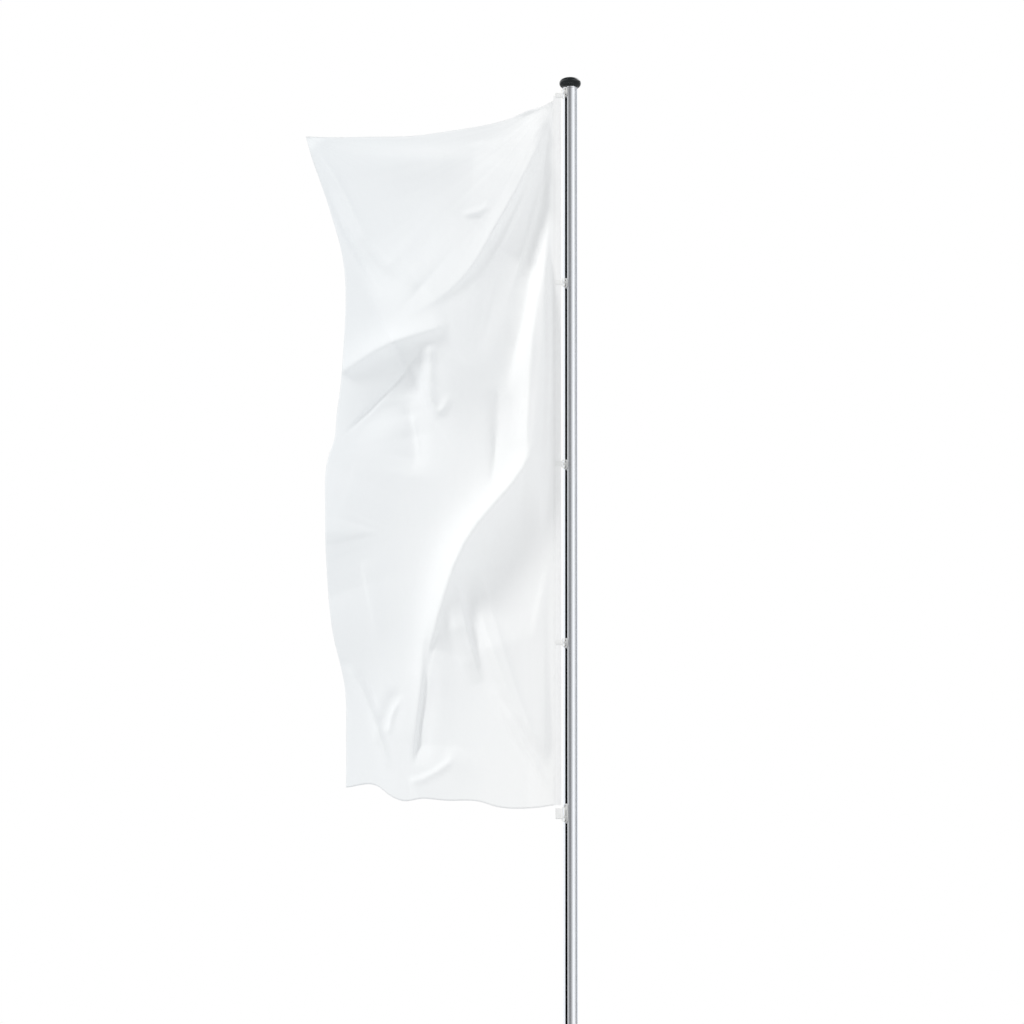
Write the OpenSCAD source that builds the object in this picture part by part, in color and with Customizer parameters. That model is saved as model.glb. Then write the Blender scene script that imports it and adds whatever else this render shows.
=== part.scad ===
// Flagpole: a round aluminium mast with a T-groove, a mushroom cap, a bolted steel foot, and a
// tall banner flag held by five sliders that run in the groove.
// The origin is the centre of the foot plate's underside. The flag flies towards -X.

/* [Mast] */
// Height of the aluminium profile's top end above the ground
mast_top = 7991; // [5000:1:9600]
// Outer diameter of the mast
mast_d = 75; // [72:1:92]
// Wall thickness of the mast
mast_wall = 2.5; // [2:0.1:4]
// Angle of the groove, from +X, seen from above
groove_angle = 234; // [215:1:255]

/* [Groove] */
// Width of the groove's mouth
slot_w = 14; // [13:0.5:17]
// Thickness of the groove's lips, measured at the mast's outer radius
lip_t = 4; // [3.5:0.1:5]
// Width of the chamber behind the lips
chamber_w = 23; // [21:0.5:27]
// Depth of the chamber
chamber_depth = 13; // [11.5:0.5:15.5]
// Wall thickness of the chamber
chamber_wall = 2; // [1.5:0.1:2.4]
// Thickness of the plastic glide lining
liner_t = 1.2; // [0.8:0.1:1.5]

/* [Cap] */
// Height of the ring under the cap
collar_h = 9; // [6:1:12]
// Diameter of the cap
cap_d = 114; // [100:1:137]
// Radius of the cap's round edge
cap_edge_r = 20.5; // [17:0.5:24]
// Height of the neck under the cap's round edge
cap_neck_h = 8; // [5:1:12]
// How far the neck stands out from the mast
cap_neck_out = 1.5; // [0.5:0.5:3]
// Length of the cap's spigot inside the mast
spigot_len = 45; // [30:1:60]

/* [Foot] */
// Side of the square foot plate
plate_w = 250; // [230:1:300]
// Thickness of the foot plate
plate_t = 12; // [10:1:16]
// Corner radius of the foot plate
plate_corner_r = 20; // [10:1:25]
// Distance between neighbouring anchor holes
anchor_spacing = 190; // [158:1:200]
// Diameter of the anchor holes
anchor_hole_d = 18; // [14:1:22]
// Height of the socket above the plate
socket_h = 300; // [250:1:360]
// Wall thickness of the socket
socket_wall = 4; // [3:0.5:5]
// Thickness of the plastic sleeve in the socket
sleeve_t = 2.6; // [2:0.1:4]
// Height of the sleeve's lip above the socket
sleeve_lip_h = 8; // [5:1:12]
// How far the sleeve's lip stands out past the socket
sleeve_lip_out = 2.5; // [1:0.5:4]
// Height of each gusset
gusset_h = 110; // [80:1:140]
// Thickness of each gusset
gusset_t = 8; // [6:1:10]
// Distance from a gusset's toe to the plate's edge
gusset_inset = 12; // [8:1:20]
// Diameter of the clamp bolts
bolt_d = 10; // [8:1:12]
// Distance of the clamp bolts below the socket's top
bolt_drop = 32; // [25:1:60]

/* [Sliders] */
// Height of a common slider
slider_h = 54; // [46:1:64]
// Height of the lowest slider, which holds the flag's lower corner down
low_slider_h = 106; // [90:1:124]
// Width of a slider's outer plate
slider_w = 24; // [20:1:28]
// Thickness of a slider's outer plate
slider_plate_t = 3.5; // [3:0.5:5]
// Distance from the mast's surface out to the flag's hinge line
eye_out = 14.5; // [14:0.5:18]
// Height of the eye lug
lug_h = 8; // [6:1:10]

/* [Hooks and loops] */
// Thickness of a hook's rod
hook_rod_d = 5; // [4:0.5:6]
// Distance between the two legs of a hook
hook_reach = 13; // [12.5:0.5:16]
// Height of a common hook
hook_h = 46; // [42:1:56]
// Height of the lowest hook
low_hook_h = 80; // [70:1:88]
// Thickness of the webbing
webbing_t = 1.5; // [1:0.1:2]
// Height of a common webbing loop
loop_h = 24; // [16:1:26]
// Height of the lowest webbing loop
low_loop_h = 58; // [50:1:60]
// How far the webbing laps onto the heading tape
loop_lap = 30; // [20:1:38]

/* [Flag] */
// Height of the flag along its hoist
flag_h = 3995; // [3200:1:4800]
// Width of the heading tape
tape_w = 40; // [34:1:48]
// Thickness of the folded heading tape
tape_t = 3; // [2:0.1:4]
// How far the flag reaches from the tape at its top, as it flies
flag_reach = 1296; // [1000:1:1600]
// How much less it reaches at the bottom
fly_rake = 190; // [0:1:300]
// How much the fly edge curls in below the top corner
fly_dip = 150; // [0:1:250]
// How far the top edge sags at the fly
top_sag = 125; // [0:1:200]
// How far the fly edge twists, back at the top and forward at the bottom
fly_twist = 190; // [0:1:260]
// Height of the billows
billow = 105; // [40:1:140]
// Thickness of the cloth with its coating of air
cloth_t = 1; // [0.8:0.1:2]

/* [Hidden] */
$fn = 64;

seat_gap = 0.2;       // between still parts with round faces
glide_gap = 0.8;      // between a slider and the groove
eps = 1;              // overshoot of a cut

mast_r = mast_d / 2;
head_z = mast_top + collar_h;

// groove, in a frame whose +X runs out through the slot
chamber_front = mast_r - lip_t;
chamber_back = chamber_front - chamber_depth;
block_half = chamber_w / 2 + chamber_wall;

// foot
sleeve_r = mast_r + seat_gap;
socket_bore_r = sleeve_r + sleeve_t + seat_gap;
socket_r = socket_bore_r + socket_wall;
socket_top = plate_t + socket_h;
bolt_z = socket_top - bolt_drop;
bolt_head_h = bolt_d * 0.64;
bolt_head_r = bolt_d * 0.98;
bolt_angles = [45, 165, 285];

// sliders: the lowest hangs below the flag's lower corner, the top one stops under the cap
cap_clear = 5;
slider_1_z = head_z - cap_clear - slider_h / 2;
flag_top = slider_1_z - 28;
flag_bottom = flag_top - flag_h;
slider_5_z = flag_bottom - 42;
middle_z = [0.2640, 0.5203, 0.7716];   // shares of the hoist where the middle sliders sit
slider_z = [
    slider_1_z,
    for (share = middle_z) flag_top - share * flag_h,
    slider_5_z];
plate_u = mast_r + 1;
plate_face_u = plate_u + slider_plate_t;
eye_u = mast_r + eye_out;
eye_x = eye_u * cos(groove_angle);
eye_y = eye_u * sin(groove_angle);

// eye lug, hook and loop
hook_rod_r = hook_rod_d / 2;
eye_bore_r = hook_rod_r + 0.8;
lug_r = eye_bore_r + 3;
lug_drop = [10, 0, 0, 0, 25];          // of each lug below its slider's middle
hook_drop = [16, 0, 0, 0, 10];         // of each hook's middle below its slider's middle
loop_drop = [24, 0, 0, 0, 6];          // of each loop's middle below its slider's middle
hook_heights = [hook_h + 8, hook_h, hook_h, hook_h, low_hook_h];
loop_heights = [loop_h, loop_h, loop_h, loop_h, low_loop_h];
slider_heights = [slider_h, slider_h, slider_h, slider_h, low_slider_h];
loop_bore_r = hook_rod_r + 0.7;
loop_r = loop_bore_r + webbing_t;
tape_x = eye_x - hook_reach - loop_r - 0.3;

// flag
flag_cells_u = 14;
flag_cells_w = 20;
flag_x = tape_x - tape_w - 0.3;

// ---- shapes shared by several pieces ----

// cross-section of the mast, with the slot towards +X
module mast_section() {
    difference() {
        union() {
            difference() {
                circle(r = mast_r, $fn = 128);
                circle(r = mast_r - mast_wall, $fn = 128);
            }
            intersection() {
                circle(r = mast_r - mast_wall / 2, $fn = 128);
                translate([chamber_back - chamber_wall, -block_half])
                    square([mast_r, 2 * block_half]);
            }
        }
        translate([chamber_back, -chamber_w / 2])
            square([chamber_depth, chamber_w]);
        translate([chamber_front - eps, -slot_w / 2])
            square([lip_t + 2 * eps, slot_w]);
    }
}

module in_groove_frame() {
    rotate([0, 0, groove_angle]) children();
}

// a slab whose outline lies in the Y-Z plane, reaching from u to u + t along +X
module facing_slab(u, t) {
    translate([u, 0, 0])
        rotate([90, 0, 90])
            linear_extrude(t) children();
}

module round_ended(w, h) {
    square([w, h - w], center = true);
    for (side = [-1, 1])
        translate([0, side * (h - w) / 2])
            circle(d = w, $fn = 48);
}

// one slider about its own middle height, in the groove's frame
module slider_body(h, drop) {
    foot_back = chamber_back + liner_t + glide_gap;
    foot_front = chamber_front - liner_t - glide_gap;
    foot_w = chamber_w - 2 * (liner_t + glide_gap);
    neck_w = slot_w - 3;
    difference() {
        union() {
            translate([foot_back, -foot_w / 2, -h / 2])
                cube([foot_front - foot_back, foot_w, h]);
            translate([foot_back + 1, -neck_w / 2, -h / 2 + 2])
                cube([plate_u - foot_back, neck_w, h - 4]);
            facing_slab(plate_u, slider_plate_t)
                round_ended(slider_w, h);
            translate([plate_u + 1, -lug_r, -drop - lug_h / 2])
                cube([eye_u - plate_u - 1, 2 * lug_r, lug_h]);
            translate([eye_u, 0, -drop - lug_h / 2])
                cylinder(r = lug_r, h = lug_h);
        }
        translate([eye_u, 0, -drop - lug_h / 2 - eps])
            cylinder(r = eye_bore_r, h = lug_h + 2 * eps);
    }
}

// a closed oblong hook: one leg on the eye's axis, the other out towards the flag
module hook_body(h) {
    arch_r = hook_reach / 2;
    leg = h - 2 * (arch_r + hook_rod_r);
    for (x = [0, -hook_reach])
        translate([x, 0, -leg / 2])
            cylinder(r = hook_rod_r, h = leg, $fn = 32);
    for (side = [1, -1])
        translate([-arch_r, 0, side * leg / 2])
            rotate([side * 90, 0, 0])
                rotate_extrude(angle = 180)
                    translate([arch_r, 0])
                        circle(r = hook_rod_r, $fn = 32);
}

// a webbing strap folded round a hook's outer leg and lapped over both faces of the tape
module loop_body(h) {
    lap_x = tape_x - eye_x + hook_reach - loop_lap;
    slit = tape_t + 0.4;
    translate([0, 0, -h / 2])
        linear_extrude(h)
            difference() {
                union() {
                    circle(r = loop_r, $fn = 40);
                    translate([lap_x, -slit / 2 - webbing_t])
                        square([-lap_x, slit + 2 * webbing_t]);
                }
                circle(r = loop_bore_r, $fn = 40);
                translate([lap_x - eps, -slit / 2])
                    square([eps - lap_x, slit]);
            }
}

// ---- foot ----

module base_plate() {
    half = plate_w / 2;
    core = plate_w - 2 * plate_corner_r;
    color("silver")
        linear_extrude(plate_t)
            difference() {
                union() {
                    square([plate_w, core], center = true);
                    square([core, plate_w], center = true);
                    for (x = [-1, 1], y = [-1, 1])
                        translate([x * core / 2, y * core / 2])
                            circle(r = plate_corner_r);
                }
                for (x = [-1, 1], y = [-1, 1])
                    translate([x * anchor_spacing / 2, y * anchor_spacing / 2])
                        circle(d = anchor_hole_d);
            }
}

module bolt_hole_cuts() {
    for (a = bolt_angles)
        rotate([0, 0, a])
            translate([mast_r - eps, 0, bolt_z])
                rotate([0, 90, 0])
                    cylinder(d = bolt_d + 0.2, h = socket_r - mast_r + 4 * eps);
}

module base_socket() {
    color("silver")
        difference() {
            translate([0, 0, plate_t])
                cylinder(r = socket_r, h = socket_h, $fn = 128);
            translate([0, 0, plate_t - eps])
                cylinder(r = socket_bore_r, h = socket_h + 2 * eps, $fn = 128);
            bolt_hole_cuts();
        }
}

module gusset(i) {
    foot = plate_w / 2 - gusset_inset - socket_r;
    toe = 14;
    color("silver")
        rotate([0, 0, 90 * i])
            translate([socket_r + 0.02, gusset_t / 2, plate_t])
                rotate([90, 0, 0])
                    linear_extrude(gusset_t)
                        polygon([[0, 0], [foot, 0], [foot, toe], [toe, gusset_h], [0, gusset_h]]);
}

module socket_sleeve() {
    color("dimgray")
        difference() {
            union() {
                translate([0, 0, plate_t])
                    cylinder(r = sleeve_r + sleeve_t, h = socket_h + eps, $fn = 128);
                translate([0, 0, socket_top])
                    cylinder(r = socket_r + sleeve_lip_out, h = sleeve_lip_h, $fn = 128);
            }
            translate([0, 0, plate_t - eps])
                cylinder(r = sleeve_r, h = socket_h + sleeve_lip_h + 2 * eps, $fn = 128);
            bolt_hole_cuts();
        }
}

module clamp_bolt(i) {
    color("gainsboro")
        rotate([0, 0, bolt_angles[i]])
            translate([mast_r + 0.1, 0, bolt_z])
                rotate([0, 90, 0]) {
                    cylinder(d = bolt_d, h = socket_r - mast_r);
                    translate([0, 0, socket_r - mast_r])
                        cylinder(r = bolt_head_r, h = bolt_head_h, $fn = 6);
                }
}

// ---- mast ----

module mast_profile() {
    color("lightgray")
        in_groove_frame()
            translate([0, 0, plate_t])
                linear_extrude(mast_top - plate_t)
                    mast_section();
}

module groove_liner() {
    color("black")
        in_groove_frame()
            translate([0, 0, plate_t])
                linear_extrude(head_z - plate_t)
                    difference() {
                        translate([chamber_back, -chamber_w / 2])
                            square([chamber_depth, chamber_w]);
                        translate([chamber_back + liner_t, -chamber_w / 2 + liner_t])
                            square([chamber_depth - 2 * liner_t, chamber_w - 2 * liner_t]);
                        translate([chamber_front - liner_t - eps, -slot_w / 2])
                            square([liner_t + 2 * eps, slot_w]);
                    }
}

module cap_collar() {
    color("silver")
        in_groove_frame()
            translate([0, 0, mast_top])
                linear_extrude(collar_h)
                    mast_section();
}

module mast_cap() {
    edge_x = cap_d / 2 - cap_edge_r;
    edge_z = cap_neck_h + cap_edge_r;
    spigot_r = mast_r - mast_wall - seat_gap;
    color("#101214") {
        translate([0, 0, head_z])
            rotate_extrude($fn = 96)
                union() {
                    square([mast_r + cap_neck_out, cap_neck_h + cap_edge_r]);
                    translate([0, cap_neck_h])
                        square([edge_x, 2 * cap_edge_r]);
                    intersection() {
                        translate([edge_x, edge_z])
                            circle(r = cap_edge_r, $fn = 96);
                        square([cap_d, cap_d]);
                    }
                }
        in_groove_frame()
            difference() {
                translate([0, 0, head_z - spigot_len])
                    cylinder(r = spigot_r, h = spigot_len + eps);
                translate([chamber_back - chamber_wall - seat_gap, -block_half - seat_gap, head_z - spigot_len - eps])
                    cube([mast_r, 2 * (block_half + seat_gap), spigot_len + eps]);
            }
    }
}

// ---- sliders, hooks and loops ----

module slider(i) {
    color("darkgray")
        translate([0, 0, slider_z[i]])
            in_groove_frame()
                slider_body(slider_heights[i], lug_drop[i]);
}

module snap_hook(i) {
    color("white")
        translate([eye_x, eye_y, slider_z[i] - hook_drop[i]])
            hook_body(hook_heights[i]);
}

module webbing_loop(i) {
    color("whitesmoke")
        translate([eye_x - hook_reach, eye_y, slider_z[i] - loop_drop[i]])
            loop_body(loop_heights[i]);
}

// ---- flag ----

module heading_tape() {
    color("white")
        translate([tape_x - tape_w, eye_y - tape_t / 2, flag_bottom])
            cube([tape_w, tape_t, flag_h]);
}

// how far the flag reaches at a share w of the way down
function reach(w) = flag_reach - fly_rake * w - fly_dip * exp(-pow((w - 0.28) / 0.15, 2));

// depth of the cloth: a twist of the fly edge, and billows that grow away from the hoist
function depth(u, w) =
    u * (fly_twist * (1 - 2 * w))
    + billow * sin(90 * min(1, 2.5 * u)) * sin(360 * (1.15 * u + 0.35 * w));

function cloth_point(u, w) = [
    flag_x - u * reach(w),
    eye_y + depth(u, w),
    (1 - w) * (flag_top - top_sag * sin(90 * u)) + w * flag_bottom];

module flag() {
    nu = flag_cells_u;
    nw = flag_cells_w;
    row = nu + 1;
    sheet = [for (j = [0:nw], i = [0:nu]) cloth_point(i / nu, j / nw)];
    count = len(sheet);
    points = concat(
        [for (p = sheet) p - [0, cloth_t / 2, 0]],
        [for (p = sheet) p + [0, cloth_t / 2, 0]]);
    front = [for (j = [0:nw - 1], i = [0:nu - 1], half = [0, 1])
        let (a = j * row + i)
            half == 0 ? [a, a + 1, a + row] : [a + 1, a + row + 1, a + row]];
    back = [for (f = front) [f[0] + count, f[2] + count, f[1] + count]];
    rim = concat(
        [for (i = [0:nu]) i],
        [for (j = [1:nw]) j * row + nu],
        [for (i = [nu - 1:-1:0]) nw * row + i],
        [for (j = [nw - 1:-1:1]) j * row]);
    sides = [for (k = [0:len(rim) - 1], half = [0, 1])
        let (a = rim[k], b = rim[(k + 1) % len(rim)])
            half == 0 ? [b, a, a + count] : [b, a + count, b + count]];
    color("white")
        polyhedron(points = points, faces = concat(front, back, sides));
}

base_plate();
base_socket();
gusset(0);  // gusset_1
gusset(1);  // gusset_2
gusset(2);  // gusset_3
gusset(3);  // gusset_4
socket_sleeve();
clamp_bolt(0);  // clamp_bolt_1
clamp_bolt(1);  // clamp_bolt_2
clamp_bolt(2);  // clamp_bolt_3
mast_profile();
groove_liner();
cap_collar();
mast_cap();
slider(0);  // slider_1
slider(1);  // slider_2
slider(2);  // slider_3
slider(3);  // slider_4
slider(4);  // slider_5
snap_hook(0);  // snap_hook_1
snap_hook(1);  // snap_hook_2
snap_hook(2);  // snap_hook_3
snap_hook(3);  // snap_hook_4
snap_hook(4);  // snap_hook_5
webbing_loop(0);  // webbing_loop_1
webbing_loop(1);  // webbing_loop_2
webbing_loop(2);  // webbing_loop_3
webbing_loop(3);  // webbing_loop_4
webbing_loop(4);  // webbing_loop_5
heading_tape();
flag();
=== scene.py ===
import math

import bmesh
import bpy
import numpy as np
from mathutils import Matrix, Vector


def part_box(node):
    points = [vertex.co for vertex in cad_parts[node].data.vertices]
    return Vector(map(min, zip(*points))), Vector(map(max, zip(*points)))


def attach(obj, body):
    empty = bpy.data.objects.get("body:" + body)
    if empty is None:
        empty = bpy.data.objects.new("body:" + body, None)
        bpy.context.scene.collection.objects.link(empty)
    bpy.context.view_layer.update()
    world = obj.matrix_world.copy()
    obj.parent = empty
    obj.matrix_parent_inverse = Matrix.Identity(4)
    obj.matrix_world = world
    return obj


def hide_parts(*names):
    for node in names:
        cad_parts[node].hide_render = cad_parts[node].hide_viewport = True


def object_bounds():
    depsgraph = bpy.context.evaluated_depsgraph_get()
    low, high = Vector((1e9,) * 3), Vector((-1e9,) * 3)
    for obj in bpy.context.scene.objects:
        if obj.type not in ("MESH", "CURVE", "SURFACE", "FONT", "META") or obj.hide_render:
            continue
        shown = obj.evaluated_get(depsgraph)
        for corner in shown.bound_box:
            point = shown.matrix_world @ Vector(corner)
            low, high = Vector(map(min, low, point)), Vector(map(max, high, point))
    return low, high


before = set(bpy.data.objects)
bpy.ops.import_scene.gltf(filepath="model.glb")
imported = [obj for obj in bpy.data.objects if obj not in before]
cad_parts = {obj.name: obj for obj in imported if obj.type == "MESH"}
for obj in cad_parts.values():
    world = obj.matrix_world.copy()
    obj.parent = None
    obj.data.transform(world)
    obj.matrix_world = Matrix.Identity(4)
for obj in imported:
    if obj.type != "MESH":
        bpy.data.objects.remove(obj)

cad_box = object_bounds()

# The view. The mast is seen from far off and from well below, so the lines along it stay
# parallel and the cap shows its underside.
scene = bpy.context.scene
view_pitch = math.radians(22)
view_distance = 240.0
view_width = 5.345
view_aim = Vector((-0.3045, 0, 5.607))
view_line = Vector((0, math.cos(view_pitch), math.sin(view_pitch)))
camera_data = bpy.data.cameras.new("camera")
camera_data.sensor_width = 36
camera_data.lens = camera_data.sensor_width * view_distance / view_width
camera_data.clip_start = 1
camera_data.clip_end = 3000
camera = bpy.data.objects.new("camera", camera_data)
camera.location = view_aim - view_line * view_distance
camera.rotation_euler = (math.pi / 2 + view_pitch, 0, 0)
scene.collection.objects.link(camera)
scene.camera = camera
scene.view_settings.view_transform = "Standard"


# The studio. A pale dome and one broad soft lamp light everything. Only glossy surfaces see the
# ring of light and dark cards round the object, which gives the round mast its long streaks, and
# the viewer sees plain white behind.
class Wire:
    """A shader socket that can be added, multiplied and so on, each by a Math node."""

    def __init__(self, maker, socket):
        self.maker, self.socket = maker, socket

    def __add__(self, other):
        return self.maker.math("ADD", self, other)

    def __sub__(self, other):
        return self.maker.math("SUBTRACT", self, other)

    def __mul__(self, other):
        return self.maker.math("MULTIPLY", self, other)

    def __truediv__(self, other):
        return self.maker.math("DIVIDE", self, other)

    def __rsub__(self, other):
        return self.maker.math("SUBTRACT", other, self)

    __radd__ = __add__
    __rmul__ = __mul__


class Shader:
    """Adds nodes to one node tree."""

    def __init__(self, tree):
        self.tree = tree

    def node(self, kind, settings=None, inputs=None, out=0):
        """Adds a node; its settings come first, then the values or links of its sockets."""
        made = self.tree.nodes.new("ShaderNode" + kind)
        for name, value in (settings or {}).items():
            if name == "stops":
                ramp = made.color_ramp
                while len(ramp.elements) < len(value):
                    ramp.elements.new(0.5)
                for stop, (place, grey) in zip(ramp.elements, value):
                    stop.position = place
                    stop.color = (grey, grey, grey, 1)
            else:
                setattr(made, name, value)
        for name, value in (inputs or {}).items():
            if isinstance(value, Wire):
                self.tree.links.new(value.socket, made.inputs[name])
            else:
                made.inputs[name].default_value = value
        return Wire(self, made.outputs[out]) if len(made.outputs) else made

    def axes(self, spot):
        """The X, Y and Z of a vector."""
        return [self.node("SeparateXYZ", inputs={"Vector": spot}, out=axis) for axis in range(3)]

    def math(self, operation, *values):
        return self.node("Math", {"operation": operation}, dict(enumerate(values)))

    def ramp(self, value, *stops):
        """A grey that eases from stop to stop, each stop being (place, grey)."""
        made = self.node("ValToRGB", {"stops": stops}, {"Fac": value})
        made.socket.node.color_ramp.interpolation = "EASE"
        return made


sky_white = (0.975, 0.988, 1.0)
world = bpy.data.worlds.new("studio")
scene.world = world
world.use_nodes = True
world.node_tree.nodes.clear()
studio = Shader(world.node_tree)
sky_way = studio.node("TexCoord", out="Generated")
sky_x, sky_y, sky_z = studio.axes(sky_way)
bearing = studio.math("ARCTAN2", sky_x, sky_y * -1.0) / (2 * math.pi) + 0.5
rising = sky_z * 0.5 + 0.5
brightest_card = 1.8
cards = brightest_card * studio.ramp(
    bearing, (0.0, 0.72), (0.2, 0.70), (0.34, 0.64), (0.378, 0.54), (0.41, 0.34), (0.455, 0.14),
    (0.51, 0.14), (0.545, 0.34), (0.60, 0.62), (0.65, 0.84), (0.70, 0.64), (0.75, 0.34),
    (0.81, 0.20), (0.86, 0.38), (0.92, 0.68), (1.0, 0.72))
card_rows = studio.ramp(rising, (0.52, 0.0), (0.60, 1.0), (0.77, 1.0), (0.83, 0.0))
small_card = studio.ramp(bearing, (0.74, 0.0), (0.79, 1.0), (0.89, 1.0), (0.94, 0.0))
small_rows = studio.ramp(rising, (0.75, 0.0), (0.79, 1.0), (0.92, 1.0), (0.97, 0.0))
far_rows = studio.ramp(rising, (0.40, 0.36), (0.56, 0.5), (0.80, 0.5), (0.95, 0.22))
small_strength = 4.0
mirrored = far_rows + card_rows * (cards - far_rows) + small_card * small_rows * small_strength
soft_dome = studio.math("MAXIMUM", 0.835 + 0.22 * sky_x - 0.30 * sky_z, 0.0)
in_mirror = studio.node("LightPath", out="Is Glossy Ray")
glow = soft_dome + in_mirror * (mirrored - soft_dome)
lit = studio.node("Background", inputs={"Color": (*sky_white, 1), "Strength": glow})
seen = studio.node("Background", inputs={"Color": (1, 1, 1, 1), "Strength": 1.0})
to_viewer = studio.node("LightPath", out="Is Camera Ray")
both = studio.node("MixShader", inputs={0: to_viewer, 1: lit, 2: seen})
studio.node("OutputWorld", inputs={"Surface": both})

lamp_data = bpy.data.lights.new("key_light", "SUN")
lamp_data.energy = 1.52
lamp_data.angle = math.radians(12)
lamp_data.color = (1.0, 0.99, 0.975)
towards_lamp = Vector((-0.62, -0.36, 0.70))
lamp = bpy.data.objects.new("key_light", lamp_data)
lamp.rotation_euler = towards_lamp.to_track_quat("Z", "Y").to_euler()
lamp.visible_glossy = False
scene.collection.objects.link(lamp)

# The floor is a small pale disc that the foot stands on. It is no wider than the mast needs,
# because the view comes from below it.
floor_radius = 3.2
floor_mesh = bpy.data.meshes.new("floor")
disc = bmesh.new()
bmesh.ops.create_circle(disc, cap_ends=True, segments=96, radius=floor_radius)
bmesh.ops.translate(disc, verts=disc.verts, vec=(0, 0, cad_box[0][2] - 0.001))
disc.to_mesh(floor_mesh)
disc.free()
floor = bpy.data.objects.new("floor", floor_mesh)
scene.collection.objects.link(floor)
floor_paint = bpy.data.materials.new("floor")
floor_paint.use_nodes = True
floor_look = floor_paint.node_tree.nodes["Principled BSDF"].inputs
floor_look["Base Color"].default_value = (0.82, 0.82, 0.81, 1)
floor_look["Roughness"].default_value = 0.9
floor_mesh.materials.append(floor_paint)


# The mast is one round aluminium extrusion with a T-groove along it. It is pressed through a
# die, so fine straight lines run its whole length, and it is anodised to a silvery satin.
class Finish(Shader):
    """A material on one Principled shader, whose even values are set on its own sockets."""

    def __init__(self, name, **even):
        self.material = bpy.data.materials.new(name)
        self.material.use_nodes = True
        super().__init__(self.material.node_tree)
        self.sockets = self.tree.nodes["Principled BSDF"].inputs
        for key, value in even.items():
            socket = self.sockets[key.replace("_", " ").title().replace("Ior", "IOR")]
            socket.default_value = (*value, 1) if isinstance(value, tuple) else value

    def place(self, scale=(1, 1, 1)):
        """Where a point lies, in metres, stretched by scale."""
        spot = self.node("TexCoord", out="Object")
        return self.node("Mapping", inputs={"Vector": spot, "Scale": scale})

    def noise(self, where, size, detail=3.0):
        """Soft noise whose lumps are about size metres."""
        return self.node(
            "TexNoise", inputs={"Vector": where, "Scale": 1.0 / size, "Detail": detail}, out="Fac")

    def tint(self, amount, low, high):
        """A colour between low and high."""
        return self.node(
            "Mix", {"data_type": "RGBA"},
            {"Factor": amount, 6: (*low, 1), 7: (*high, 1)}, out=2)

    def feed(self, socket, value):
        self.tree.links.new(value.socket, self.sockets[socket])

    def bump(self, height, depth, strength=1.0):
        """height runs from 0 to 1, depth is in metres."""
        raised = self.node(
            "Bump", inputs={"Height": height, "Distance": depth, "Strength": strength})
        self.feed("Normal", raised)


def set_piece(name, bm, finish, body, nodes=(), bevel=0.0, segments=2, smooth_angle=35):
    """Makes a finished piece of a bmesh: its material, its body, and the CAD nodes it is for."""
    mesh = bpy.data.meshes.new(name)
    bm.to_mesh(mesh)
    bm.free()
    piece = bpy.data.objects.new(name, mesh)
    scene.collection.objects.link(piece)
    mesh.materials.append(finish.material)
    mesh.shade_smooth()
    mesh.set_sharp_from_angle(angle=math.radians(smooth_angle))
    if bevel:
        edge = piece.modifiers.new("soft_edges", "BEVEL")
        edge.width = bevel
        edge.segments = segments
        edge.limit_method = "ANGLE"
        edge.angle_limit = math.radians(smooth_angle)
        edge.harden_normals = False
    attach(piece, body)
    if nodes:
        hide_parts(*nodes)
    return piece


mast_low, mast_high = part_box("mast_profile")
collar_low, collar_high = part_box("cap_collar")
mast_radius = 0.0375
groove_turn = math.radians(234)
slot_half = 0.007
chamber_half = 0.0115
chamber_front = 0.0335
chamber_back = 0.0205

anodised = Finish("anodised_aluminium", metallic=1.0, specular_tint=(0.9, 0.93, 1.0))
die_lines = anodised.noise(anodised.place((1, 1, 0.004)), 0.0011, 4.0)
wide_lines = anodised.noise(anodised.place((1, 1, 0.0015)), 0.006, 2.0)
handling = anodised.noise(anodised.place(), 0.22, 5.0)
anodised.feed("Base Color", anodised.tint(
    wide_lines * 0.6 + handling * 0.4, (0.70, 0.715, 0.745), (0.80, 0.81, 0.825)))
anodised.feed("Roughness", 0.17 + 0.10 * die_lines + 0.08 * handling)
anodised.bump(die_lines, 0.00006, 0.35)


def profile_outline(z):
    """The mast's outline with its groove, as points at height z, the slot towards +X."""
    start = math.asin(slot_half / mast_radius)
    turns = 144
    ring = [start + (2 * math.pi - 2 * start) * k / turns for k in range(turns + 1)]
    outer = [(mast_radius * math.cos(a), mast_radius * math.sin(a)) for a in ring]
    inside = [
        (chamber_front, -slot_half), (chamber_front, -chamber_half),
        (chamber_back, -chamber_half), (chamber_back, chamber_half),
        (chamber_front, chamber_half), (chamber_front, slot_half)]
    turn = Matrix.Rotation(groove_turn, 3, "Z")
    return [turn @ Vector((x, y, z)) for x, y in outer + inside]


def profile_length(bottom, top):
    """A straight length of the mast's section."""
    bm = bmesh.new()
    end = bm.faces.new([bm.verts.new(p) for p in profile_outline(bottom)])
    grown = bmesh.ops.extrude_face_region(bm, geom=[end])["geom"]
    moved = [g for g in grown if isinstance(g, bmesh.types.BMVert)]
    bmesh.ops.translate(bm, verts=moved, vec=(0, 0, top - bottom))
    bmesh.ops.recalc_face_normals(bm, faces=bm.faces)
    return bm


set_piece(
    "mast_tube", profile_length(mast_low[2], mast_high[2]), anodised, "mast",
    ["mast_profile"], bevel=0.0005)

# The collar is a short ring of the same section under the cap. Its edges are broken, so a fine
# seam shows where it meets the mast.
set_piece(
    "collar_ring", profile_length(collar_low[2] + 0.0002, collar_high[2]), anodised, "mast",
    ["cap_collar"], bevel=0.0007, segments=3)

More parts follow.
